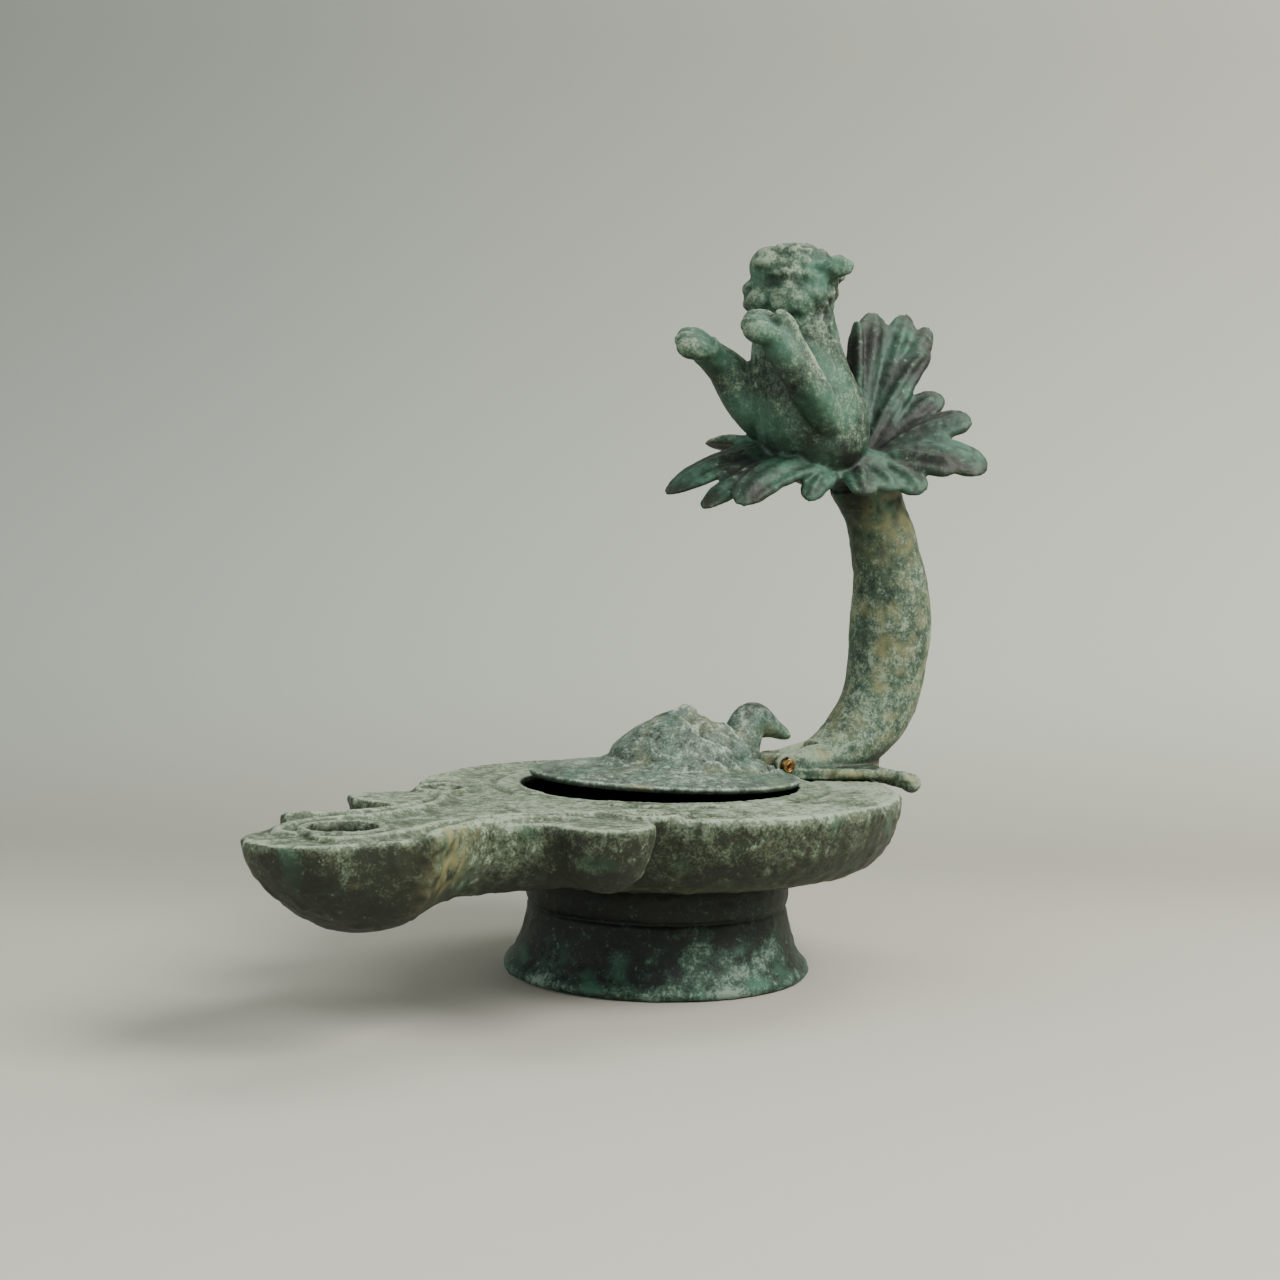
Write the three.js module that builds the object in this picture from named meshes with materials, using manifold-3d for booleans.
// A Roman bronze oil lamp: a round bowl on a flared foot, one voluted nozzle, a thick curved handle
// that ends in a leaf calyx with the forepart of a big cat, and a hinged lid with a bearded mask.
//
// Millimetres, +Z up. The origin is on the ground under the middle of the lamp's whole length, and
// the bowl and its foot stand FOOT_AT from it. The nozzle points along -X. The handle and the lid
// share a frame of their own, turned about Z, in which +X runs from the middle of the bowl to the
// handle.

import * as THREE from 'three';
import { mergeVertices } from 'three/addons/utils/BufferGeometryUtils.js';
import Module from 'manifold-3d';

const wasm = await Module();
wasm.setup();

// ---------------------------------------------------------------- driving dimensions

const GAP = 0.3; // clearance between touching pieces
const WALL = 2.3; // cast wall of the bowl and the nozzle

const FOOT_AT = 18.4; // the middle of the bowl, along X
const FOOT_HEIGHT = 21.5;
const FOOT_LIP = 31.6; // radius of the foot's lower lip
const FOOT_NECK = 26.0; // radius where the foot meets the bowl
const FOOT_WALL = 3.0;

const BOWL_RADIUS = 50;
const BOWL_FLOOR = FOOT_HEIGHT + GAP; // underside of the bowl
const BOWL_TOP = 38.1; // the flat top of the lamp
const DECK = 2.2; // thickness of that top
const HOLE_RADIUS = 28.8; // filling hole

const LOBE_RADIUS = 8; // rounded shoulder beside the neck
const LOBE_AT = [52.5, 26.2]; // along the nozzle, to the side
const LOBE_FLOOR = 26.8;

const VOLUTE_AT = [38, 24.5]; // middle of each scroll on the bowl
const SHOULDER_AT = 52; // where the neck has flared out to the lobes
const SHOULDER_HALF = 32;
const NECK_AT = 67; // where the neck is narrowest
const NECK_HALF = 13.2;
const NECK_BOTTOM = 23.6;
const FLUKE_AT = 87; // the nozzle's corners
const FLUKE_HALF = 18.6;
const BOW_LENGTH = 23; // from the corners to the nozzle's tip
const KEEL_BOTTOM = 20.6;
const WICK_AT = 91;
const WICK_HOLE = [6.5, 5.8]; // half length, half width

const HANDLE_TURN = -21 * Math.PI / 180;
const PLATE_BOTTOM = BOWL_TOP + GAP;
const PLATE_THICK = 2.2;

const HINGE_AT = 29.4; // hinge axis from the middle of the bowl
const HINGE_HEIGHT = 41.3;
const PIN_RADIUS = 1.25;
const PIN_BORE = 0.6;
const PIN_LENGTH = 10.6;
const KNUCKLE_RADIUS = 2.55;
const KNUCKLE_HALF = 1.5;
const CHANNEL_END = 39; // the slot between the lugs takes the duck's bill when the lid opens
const LUG_INNER = 2.4; // each lug from here to LUG_OUTER, beside the middle plane
const LUG_OUTER = 4.0;

const LID_RADIUS = 28.4;
const LID_SHIFT = 1.2; // the lid sits this much towards its hinge
const LID_EDGE = 1.3;
const LID_RAISED = 1.6 * Math.PI / 180; // how far the lid stands open

// ---------------------------------------------------------------- helpers

function toSolid(geometry) {
  let g = geometry.clone();
  g.deleteAttribute('normal');
  g.deleteAttribute('uv');
  g = mergeVertices(g, 1e-4);
  const vertProperties = new Float32Array(g.attributes.position.array);
  const index = Array.from(g.index.array);
  const corner = (i) => new THREE.Vector3().fromArray(vertProperties, 3 * index[i]);
  const kept = [];
  let volume = 0;
  for (let i = 0; i < index.length; i += 3) {
    const [a, b, c] = [index[i], index[i + 1], index[i + 2]];
    if (a === b || b === c || a === c) continue;
    kept.push(a, b, c);
    volume += corner(i).dot(corner(i + 1).cross(corner(i + 2)));
  }
  if (volume < 0) {
    for (let i = 0; i < kept.length; i += 3) [kept[i], kept[i + 1]] = [kept[i + 1], kept[i]];
  }
  return new wasm.Manifold(new wasm.Mesh({ numProp: 3, vertProperties, triVerts: new Uint32Array(kept) }));
}

function toGeometry(solid) {
  const mesh = solid.getMesh();
  const geometry = new THREE.BufferGeometry();
  geometry.setAttribute('position', new THREE.BufferAttribute(new Float32Array(mesh.vertProperties), 3));
  geometry.setIndex(new THREE.BufferAttribute(new Uint32Array(mesh.triVerts), 1));
  return geometry;
}

const join = (solids) => solids.reduce((a, b) => a.add(b));

// A closed skin of rows and cols: place(along 0..1, column, rim) says where each vertex goes, and
// rim is false only at the middle of the two end caps.
function skin(rows, cols, place) {
  const g = new THREE.CylinderGeometry(1, 1, 1, cols, rows);
  const p = g.attributes.position;
  for (let i = 0; i < p.count; i++) {
    const along = Math.round((p.getY(i) + 0.5) * rows) / rows;
    const rim = Math.hypot(p.getX(i), p.getZ(i)) > 0.5;
    const turn = Math.atan2(p.getX(i), p.getZ(i)) / (2 * Math.PI);
    const column = ((Math.round(turn * cols) % cols) + cols) % cols;
    const v = place(along, rim ? column : -1, rim);
    p.setXYZ(i, v.x, v.y, v.z);
  }
  return toSolid(g);
}

// A limb, stem or ridge: round sections along a smooth path. stations are [x, y, z, radius, flat],
// where flat squeezes the section's height.
function limb(stations, rows, cols) {
  const path = new THREE.CatmullRomCurve3(stations.map((s) => new THREE.Vector3(s[0], s[1], s[2])));
  const last = stations.length - 1;
  const mix = (field, along, fallback) => {
    const at = Math.min(last - 1e-6, path.getUtoTmapping(along) * last);
    const i = Math.floor(at);
    const value = (s) => (s[field] === undefined ? fallback : s[field]);
    return THREE.MathUtils.lerp(value(stations[i]), value(stations[i + 1]), at - i);
  };
  const frames = path.computeFrenetFrames(rows, false);
  return skin(rows, cols, (along, column, rim) => {
    const centre = path.getPointAt(along);
    if (!rim) return centre;
    const side = frames.normals[Math.round(along * rows)];
    const up = frames.binormals[Math.round(along * rows)];
    const angle = 2 * Math.PI * column / cols;
    const radius = mix(3, along, 1);
    const flat = mix(4, along, 1);
    return centre.addScaledVector(side, radius * Math.cos(angle))
      .addScaledVector(up, radius * flat * Math.sin(angle));
  });
}

// An egg: a sphere with three half-axes, turned about Z and set in place.
function egg(at, half, turn = 0, cols = 12, rows = 8) {
  const g = new THREE.SphereGeometry(1, cols, rows);
  g.rotateX(Math.PI / 2);
  g.scale(...half);
  g.rotateZ(turn);
  g.translate(...at);
  return toSolid(g);
}

function lathe(path, divisions, segments) {
  const g = new THREE.LatheGeometry(path.getPoints(divisions), segments);
  g.rotateX(Math.PI / 2);
  return toSolid(g);
}

function extruded(outline, bottom, top) {
  const g = new THREE.ExtrudeGeometry(outline, { depth: top - bottom, bevelEnabled: false, curveSegments: 6 });
  g.translate(0, 0, bottom);
  return toSolid(g);
}

// A drum lying along Y.
function drum(x, z, radius, y0, y1, sides = 20) {
  const g = new THREE.CylinderGeometry(radius, radius, y1 - y0, sides);
  g.translate(x, (y0 + y1) / 2, z);
  return toSolid(g);
}

function block(x0, x1, y0, y1, z0, z1) {
  const g = new THREE.BoxGeometry(x1 - x0, y1 - y0, z1 - z0);
  g.translate((x0 + x1) / 2, (y0 + y1) / 2, (z0 + z1) / 2);
  return toSolid(g);
}

// ---------------------------------------------------------------- foot

function foot() {
  const outer = new THREE.Path();
  outer.moveTo(FOOT_LIP - FOOT_WALL, 0);
  outer.lineTo(FOOT_LIP - 0.5, 0);
  outer.quadraticCurveTo(FOOT_LIP + 0.4, 1, FOOT_LIP - 0.4, 2);
  outer.quadraticCurveTo(28.2, 5.6, 27.2, 9.4);
  outer.lineTo(26.8, 13.4);
  outer.lineTo(26.1, 13.9); // the groove under the shoulder
  outer.lineTo(26.7, 14.5);
  outer.quadraticCurveTo(27.2, 17.6, FOOT_NECK, FOOT_HEIGHT);
  outer.lineTo(FOOT_NECK - FOOT_WALL - 1, FOOT_HEIGHT);
  outer.lineTo(24, 9.4);
  outer.quadraticCurveTo(25.4, 4, FOOT_LIP - FOOT_WALL, 0);
  return lathe(outer, 2, 32);
}

// ---------------------------------------------------------------- bowl and nozzle

// The bowl's section: how far in from the rim, and how far up between its floor and its top.
const BOWL_SIDE = [[12, 0.025], [7, 0.11], [3.6, 0.28], [1.4, 0.52], [0.3, 0.8]];

function bowlSection(radius, floor, top, foot, edge) {
  const p = new THREE.Path();
  p.moveTo(0, floor);
  p.lineTo(foot, floor);
  for (const [inward, up] of BOWL_SIDE) p.lineTo(radius - inward, floor + up * (top - floor));
  p.lineTo(radius, top - edge);
  p.lineTo(radius - 0.35 * edge, top - 0.3 * edge);
  p.lineTo(radius - edge, top);
  p.lineTo(0, top);
  return p;
}

// Half width and underside of the nozzle, at a distance from the middle of the bowl. The neck
// flares into the shoulders at SHOULDER_AT, and from there back it narrows inside the bowl.
function nozzleHalf(u) {
  if (u < SHOULDER_AT) {
    return THREE.MathUtils.lerp(24, SHOULDER_HALF, THREE.MathUtils.smoothstep(u, BOWL_RADIUS - 12, SHOULDER_AT));
  }
  if (u < NECK_AT) {
    return NECK_HALF + (SHOULDER_HALF - NECK_HALF) * ((NECK_AT - u) / (NECK_AT - SHOULDER_AT)) ** 2.2;
  }
  if (u < FLUKE_AT) return NECK_HALF + (FLUKE_HALF - NECK_HALF) * ((u - NECK_AT) / (FLUKE_AT - NECK_AT)) ** 1.9;
  const s = 2 * (u - FLUKE_AT) / BOW_LENGTH - 1; // from the corners, past the round bow's middle, to the tip
  const round = BOW_LENGTH / 2;
  return s < 0 ? round + (FLUKE_HALF - round) * (-s) ** 1.6 : round * Math.sqrt(Math.max(0, 1 - s * s));
}

function nozzleBottom(u) {
  const keel = FLUKE_AT + 2;
  if (u < NECK_AT) return NECK_BOTTOM;
  if (u < keel) {
    const s = (u - NECK_AT) / (keel - NECK_AT);
    return THREE.MathUtils.lerp(NECK_BOTTOM, KEEL_BOTTOM, s * s * (3 - 2 * s));
  }
  const s = Math.min(1, (u - keel) / (FLUKE_AT + BOW_LENGTH - keel));
  return BOWL_TOP - (BOWL_TOP - KEEL_BOTTOM) * (1 - s ** 1.6) ** 0.7;
}

// U-shaped sections from the bowl to the tip, drawn in by inset for the hollow.
function nozzle(from, to, inset, top, rows) {
  const under = 10;
  const over = 2;
  const scale = (to - FLUKE_AT) / BOW_LENGTH;
  return skin(rows, under + over, (along, column, rim) => {
    const ease = Math.sin(along * Math.PI / 2);
    const u = from + (to - from) * (0.45 * along + 0.55 * ease);
    const outer = u < FLUKE_AT ? u : FLUKE_AT + (u - FLUKE_AT) / scale;
    const half = Math.max(0.02, nozzleHalf(outer) - inset * (outer > FLUKE_AT ? scale : 1));
    const bottom = Math.min(top - 0.05, nozzleBottom(outer) + inset);
    if (!rim) return new THREE.Vector3(-u, 0, (top + bottom) / 2);
    if (column <= under) {
      const angle = Math.PI * column / under;
      const drop = (top - bottom) * Math.sin(angle) ** 0.8;
      return new THREE.Vector3(-u, half * Math.cos(angle), top - drop);
    }
    return new THREE.Vector3(-u, half * (2 * (column - under) / over - 1), top);
  });
}

function lobe(side) {
  const p = new THREE.Path();
  p.moveTo(0, LOBE_FLOOR);
  p.quadraticCurveTo(LOBE_RADIUS - 1, LOBE_FLOOR + 1.6, LOBE_RADIUS - 0.1, BOWL_TOP - 3.6);
  p.lineTo(LOBE_RADIUS, BOWL_TOP - 0.8);
  p.lineTo(LOBE_RADIUS - 0.8, BOWL_TOP);
  p.lineTo(0, BOWL_TOP);
  return lathe(p, 2, 14).translate([-LOBE_AT[0], side * LOBE_AT[1], 0]);
}

// The outer bar along the neck, from the shoulder to a knob at the nozzle's corner.
function bar(side) {
  const z = BOWL_TOP - 0.5;
  const stations = [
    [50, 18.6, 1.0], [57, 14.4, 1.5], [NECK_AT, NECK_HALF - 1.9, 1.7], [75, 12.4, 1.7],
    [82, 14.6, 1.9], [86.6, 17.0, 2.0], [88.2, 17.8, 1.6],
  ];
  return limb(stations.map(([u, v, r]) => [-u, side * v, z, r]), 9, 6);
}

// The thin ridge that runs inside the bar and curls up beside the wick hole, after a scroll of
// one and a half turns on the shoulder.
function volute(side) {
  const stations = [];
  const [cu, cv] = VOLUTE_AT;
  for (let i = 0; i <= 12; i++) {
    const angle = Math.PI * (0.25 + 2.5 * i / 12);
    const radius = 2 + 5.4 * i / 12;
    stations.push([cu + radius * Math.cos(angle), cv + radius * Math.sin(angle) * 0.9]);
  }
  stations.push([48, 16.6], [55, 11.6], [65, 8.6], [75, 7.4], [84, 9.6], [92, 9.8], [98.2, 7.6], [99.6, 4]);
  return limb(stations.map(([u, v]) => [-u, side * v, BOWL_TOP - 0.25, 1.0]), 19, 4);
}

function lampBody() {
  const bowl = lathe(bowlSection(BOWL_RADIUS, BOWL_FLOOR, BOWL_TOP, FOOT_NECK, 1.6), 1, 42);
  const tip = FLUKE_AT + BOW_LENGTH;
  const outer = join([bowl, nozzle(34, tip, 0, BOWL_TOP, 16), lobe(1), lobe(-1), bar(1), bar(-1),
    volute(1), volute(-1)]);

  const insideTop = BOWL_TOP - DECK;
  const inside = lathe(bowlSection(BOWL_RADIUS - WALL, BOWL_FLOOR + WALL, insideTop, FOOT_NECK - 2, 1), 1, 20)
    .add(nozzle(30, tip - 3, WALL + 0.2, insideTop, 8));
  const wick = new THREE.CylinderGeometry(1, 1, 8, 20);
  wick.rotateX(Math.PI / 2);
  wick.scale(WICK_HOLE[0], WICK_HOLE[1], 1);
  wick.translate(-WICK_AT, 0, BOWL_TOP);
  const hole = new THREE.CylinderGeometry(HOLE_RADIUS, HOLE_RADIUS, 8, 40);
  hole.rotateX(Math.PI / 2);
  hole.translate(0, 0, BOWL_TOP);
  return outer.subtract(join([inside, toSolid(wick), toSolid(hole)]));
}

// ---------------------------------------------------------------- handle

// The line along the middle of a leaf's finger. It rises by arch between root and tip.
function fingerSpine([azimuth, reach, height, , arch]) {
  const out = new THREE.Vector3(Math.cos(azimuth * Math.PI / 180), Math.sin(azimuth * Math.PI / 180), 0);
  const from = new THREE.Vector3(...CALYX).addScaledVector(out, 3);
  const to = new THREE.Vector3(CALYX[0], CALYX[1], height).addScaledVector(out, reach);
  const over = from.clone().lerp(to, 0.5).add(new THREE.Vector3(0, 0, arch));
  return new THREE.QuadraticBezierCurve3(from, over, to);
}

// One finger of a leaf: a flat, round-ended blade that bows from root to tip. Its width runs from
// the finger before it to the one after it.
function finger(row, index, rows) {
  const spine = fingerSpine(row);
  const before = fingerSpine(rows.at(index - 1));
  const after = fingerSpine(rows[(index + 1) % rows.length]);
  return skin(4, 6, (along, column, rim) => {
    const centre = spine.getPoint(along);
    if (!rim) return centre;
    const ahead = spine.getTangent(along);
    const normal = before.getPoint(along).sub(after.getPoint(along)).cross(ahead).normalize();
    const side = ahead.clone().cross(normal);
    const taper = Math.sin(Math.PI * (0.16 + 0.76 * along)) ** 0.7;
    const angle = 2 * Math.PI * column / 6;
    return centre.addScaledVector(side, row[3] * taper * Math.cos(angle))
      .addScaledVector(normal, LEAF_THICK / 2 * (0.55 + 0.45 * taper) * Math.sin(angle));
  });
}

// The blade between a finger and the next one, as far out as its share of their length.
function web(row, index, rows) {
  const [near, far] = [fingerSpine(row), fingerSpine(rows[(index + 1) % rows.length])];
  const start = 0.04;
  return skin(2, 4, (along, column, rim) => {
    const at = start + (row[5] - start) * along;
    const [p, q] = [near.getPoint(at), far.getPoint(at)];
    if (!rim) return p.lerp(q, 0.5);
    const normal = p.clone().sub(q).cross(near.getTangent(at)).normalize();
    const corner = column === 0 || column === 3 ? p : q;
    return corner.addScaledVector(normal, (column < 2 ? 1 : -1) * WEB_THICK / 2);
  });
}

function stem() {
  const stations = [
    [31, 41.6, 3.7, 0.8], [35.5, 41.6, 5.6, 0.66], [42.6, 42, 7, 0.7], [50.8, 46.4, 7.8, 0.9],
    [56.8, 53.4, 8.2], [59, 61.5, 8.6], [59.9, 70.3, 9.0], [59.5, 79, 8.4], [57.6, 88, 7.5],
    [54.4, 96.2, 6.9], [50.8, 103, 7.6],
  ];
  return limb(stations.map(([x, z, r, flat]) => [x, 0, z, r, flat ?? 1]), 14, 11);
}

function basePlate() {
  const s = new THREE.Shape();
  s.moveTo(30, 4.4);
  s.quadraticCurveTo(36, 8.6, 43, 10.6);
  s.quadraticCurveTo(48, 12.4, 52.4, 18);
  s.quadraticCurveTo(57, 9, 57.6, 0);
  s.quadraticCurveTo(57, -9, 52.4, -18);
  s.quadraticCurveTo(48, -12.4, 43, -10.6);
  s.quadraticCurveTo(36, -8.6, 30, -4.4);
  return extruded(s, PLATE_BOTTOM, PLATE_BOTTOM + PLATE_THICK);
}

const CALYX = [47.5, 0, 104.5]; // where the leaves spring from the stem
const LEAF_THICK = 3.2;
const WEB_THICK = 2.4;
// the fingers round the calyx: azimuth (degrees), reach, height of the tip, half width, arch, and
// how far out the blade between this finger and the next one goes
const FINGERS = [
  [140, 32, 110, 5.4, 4, 0.8], [158, 27, 106.5, 6, 6, 0.74], [167, 42.3, 98.2, 7.4, 11, 0.72],
  [184, 40.4, 95.2, 4.4, 9.5, 0.76], [195, 38, 96.3, 4.6, 8, 0.78], [209, 22.5, 97.6, 3.4, 5, 0.62],
  [243, 17, 98.9, 4, 3, 0.75], [268, 16, 100, 4.4, 3, 0.62], [289, 18.5, 99.6, 4.4, 5, 0.85],
  [308, 24, 104.8, 5, 5, 0.9], [318, 29.5, 104.8, 6, 8, 0.84], [338, 27.4, 116.8, 4.8, 4, 0.74],
  [359, 25, 122.4, 4.4, 3, 0.42], [10, 25, 133, 3.4, 6, 0.86], [14, 27.6, 138, 3.8, 2, 0.92],
  [22, 24, 141, 4.6, 0, 0.97], [36, 17.5, 140.8, 5.4, 0, 0.96], [50, 12.8, 138.4, 3.8, 0, 0.5],
  [58, 28, 113, 6, -1, 0.72], [86, 28, 102, 6, 4, 0.72], [112, 25, 103, 5.6, 5, 0.7],
];

function leaves() {
  return [...FINGERS.map(finger), ...FINGERS.map(web),
    egg([CALYX[0] + 1, 0, CALYX[2] + 0.5], [10.5, 10.5, 4.6], 0, 12, 6)];
}

function cat() {
  const trunk = limb([[44.5, 0, 104, 6.5], [41, 0, 108.5, 10.4], [37.2, 0, 114, 12], [34.2, 0, 121, 11.4],
    [32.4, 0, 128, 10], [31.6, 0, 134.5, 8.8], [31.2, 0, 140, 8]], 7, 10);
  const look = [-Math.cos(Math.PI / 6), Math.sin(Math.PI / 6)];
  const turn = Math.atan2(look[1], look[0]);
  const head = [31, 0, 142.8];
  const ahead = (d, side, z) => [head[0] + look[0] * d - look[1] * side, head[1] + look[1] * d + look[0] * side,
    head[2] + z];
  return [
    trunk,
    egg(head, [9.6, 9.4, 9.5], turn, 12, 8),
    egg(ahead(5.4, 0, -2), [5, 5, 5.4], turn, 10, 7),
    egg(ahead(-8.2, 6.2, 3.9), [3.9, 2, 2.5], turn, 8, 6),
    egg(ahead(-8.2, -6.2, 3.9), [3.9, 2, 2.5], turn, 8, 6),
    limb([[36, -6.5, 112, 3.4], [33, -9.6, 115, 3.9], [28, -11.4, 119.8, 3.9], [23.6, -11.2, 125, 3.7],
      [20.4, -10, 130, 3.8], [18.6, -8.8, 134.2, 4.4]], 7, 8),
    limb([[36, 5, 114, 6], [30, 7, 117.4, 7], [25.4, 9.2, 121.2, 5.6], [20.8, 10, 125.8, 4.1],
      [16.6, 9.6, 129, 3.5], [13.4, 9, 131.4, 4.4]], 7, 8),
  ];
}

function handle() {
  const reach = HINGE_AT;
  const lugs = [1, -1].map((side) => {
    const [a, b] = side > 0 ? [LUG_INNER, LUG_OUTER] : [-LUG_OUTER, -LUG_INNER];
    return drum(reach, HINGE_HEIGHT, KNUCKLE_RADIUS, a, b)
      .add(block(reach, 33, a, b, HINGE_HEIGHT - KNUCKLE_RADIUS, HINGE_HEIGHT + KNUCKLE_RADIUS));
  });
  const casting = join([stem(), basePlate(), ...lugs, ...leaves(), ...cat()]);
  const underPlate = block(20, 80, -30, 30, 20, PLATE_BOTTOM);
  const channel = block(HINGE_AT - 6, CHANNEL_END, -LUG_INNER, LUG_INNER, 30, 60);
  const bore = drum(reach, HINGE_HEIGHT, PIN_RADIUS + GAP, -8, 8);
  return casting.subtract(join([underPlate, channel, bore]));
}

// ---------------------------------------------------------------- lid

const MASK_AT = 4; // middle of the mask along the lid
const MASK_HALF = [16, 12.8]; // half length, half width of the mask
const MASK_HEIGHT = 9.6;

// Height of the lid's upper face above its edge: a shallow dome, and on it a mask lying on its
// back, crown towards the nozzle and beard towards the hinge.
function lidHeight(x, y) {
  const r = Math.min(1, Math.hypot(x, y) / LID_RADIUS);
  const plate = LID_EDGE + 2.6 * (1 - r * r);
  const mx = (x - MASK_AT) / MASK_HALF[0];
  const my = y / MASK_HALF[1];
  const m = Math.max(0, 1 - mx * mx - my * my);
  const head = MASK_HEIGHT * m ** 0.62;
  // brow, nose and cheeks of the standard face, in fractions of the mask
  const bump = (cx, cy, sx, sy, h) => h * Math.exp(-(((mx - cx) / sx) ** 2) - ((my - cy) / sy) ** 2);
  const face = bump(-0.02, 0, 0.2, 0.13, 2.2) + bump(-0.22, 0, 0.09, 0.5, 0.8)
    - bump(-0.1, 0.33, 0.1, 0.18, 1.3) - bump(-0.1, -0.33, 0.1, 0.18, 1.3)
    + bump(0.34, 0, 0.07, 0.24, 0.6);
  // locks of the beard and hair, radiating from the face
  const angle = Math.atan2(my, mx);
  const outer = Math.hypot(mx, my);
  const hair = THREE.MathUtils.smoothstep(outer, 0.5, 0.75) * THREE.MathUtils.smoothstep(mx, -0.35, 0.1)
    * (1 - THREE.MathUtils.smoothstep(outer, 1.05, 1.2));
  const locks = 1.1 * hair * Math.sin(9 * angle + 5 * outer);
  return plate + head + face * Math.min(1, m * 2) + locks;
}

function lidShell() {
  const cols = 30;
  const rings = 13;
  const upper = 11;
  const g = new THREE.SphereGeometry(1, cols, rings);
  const p = g.attributes.position;
  for (let i = 0; i < p.count; i++) {
    const ring = Math.round(Math.acos(Math.max(-1, Math.min(1, p.getY(i)))) / Math.PI * rings);
    const column = ((Math.round(Math.atan2(p.getZ(i), p.getX(i)) / (2 * Math.PI) * cols) % cols) + cols) % cols;
    const angle = 2 * Math.PI * column / cols;
    const top = ring <= upper;
    const reach = top ? ring / upper : (rings - ring) / (rings - upper);
    const r = LID_RADIUS * reach;
    const x = r * Math.cos(angle);
    const y = r * Math.sin(angle);
    let z = lidHeight(x, y);
    if (!top) {
      const mx = (x - MASK_AT) / (MASK_HALF[0] - 2.4);
      const my = y / (MASK_HALF[1] - 2.4);
      const hollow = (MASK_HEIGHT - 3) * Math.max(0, 1 - mx * mx - my * my) ** 0.7;
      z = 2.2 * (1 - reach * reach) + hollow;
    }
    p.setXYZ(i, x, y, z);
  }
  return toSolid(g);
}

// The duck's head on the back of the lid: a neck that rises, bends over and ends in a bill.
function duck() {
  return join([
    limb([[19.4, 0, 40, 3.9, 1], [19.9, 0, 44, 4.1, 1], [20.9, 0, 48, 3.6, 1], [22.6, 0, 51.4, 3.5, 1], [25.6, 0, 51.6, 2.9, 1],
      [28.6, 0, 48.8, 1.7, 0.8], [31.4, 0, 46.4, 1.3, 0.7]], 10, 10),
    egg([23.2, 0, 50.8], [3.6, 3.1, 3.1], 0, 10, 7),
  ]);
}

function lid() {
  const floor = PLATE_BOTTOM + 0.05;
  const shell = lidShell().translate([LID_SHIFT, 0, floor]);
  const notch = block(HINGE_AT - KNUCKLE_RADIUS - 0.6, 40, -LUG_OUTER - 0.8, LUG_OUTER + 0.8, 30, 45.4);
  const knuckle = drum(HINGE_AT, HINGE_HEIGHT, KNUCKLE_RADIUS - 0.2, -KNUCKLE_HALF, KNUCKLE_HALF)
    .add(block(20, HINGE_AT, -KNUCKLE_HALF, KNUCKLE_HALF, HINGE_HEIGHT - 1.8, HINGE_HEIGHT + KNUCKLE_RADIUS - 0.3));
  const bore = drum(HINGE_AT, HINGE_HEIGHT, PIN_RADIUS + GAP, -8, 8);
  const closed = shell.subtract(notch).add(knuckle).add(duck()).subtract(bore);
  const toAxis = closed.translate([-HINGE_AT, 0, -HINGE_HEIGHT]);
  return toAxis.rotate([0, LID_RAISED * 180 / Math.PI, 0]).translate([HINGE_AT, 0, HINGE_HEIGHT]);
}

// ---------------------------------------------------------------- hinge pin

function hingePin() {
  const half = PIN_LENGTH / 2;
  return drum(HINGE_AT, HINGE_HEIGHT, PIN_RADIUS, -half, half, 12)
    .subtract(drum(HINGE_AT, HINGE_HEIGHT, PIN_BORE, -half - 1, half + 1, 8));
}

// ---------------------------------------------------------------- assembly

const BRONZE = { color: 0x5f7468, roughness: 0.75, metalness: 0.3 };

function piece(name, solid, material) {
  const mesh = new THREE.Mesh(toGeometry(solid), new THREE.MeshStandardMaterial(material));
  mesh.name = name;
  return mesh;
}

const lamp = new THREE.Group();
lamp.add(piece('foot', foot(), { ...BRONZE, color: 0x33443c }));
lamp.add(piece('lamp_body', lampBody(), BRONZE));

const turned = new THREE.Group();
turned.rotation.z = HANDLE_TURN;
turned.add(piece('handle', handle(), { ...BRONZE, color: 0x5b6f5c }));
turned.add(piece('lid', lid(), { ...BRONZE, color: 0x7c8f82 }));
turned.add(piece('hinge_pin', hingePin(), { color: 0x8c6a3a, roughness: 0.45, metalness: 0.8 }));
lamp.add(turned);
lamp.position.x = FOOT_AT;

export default lamp;
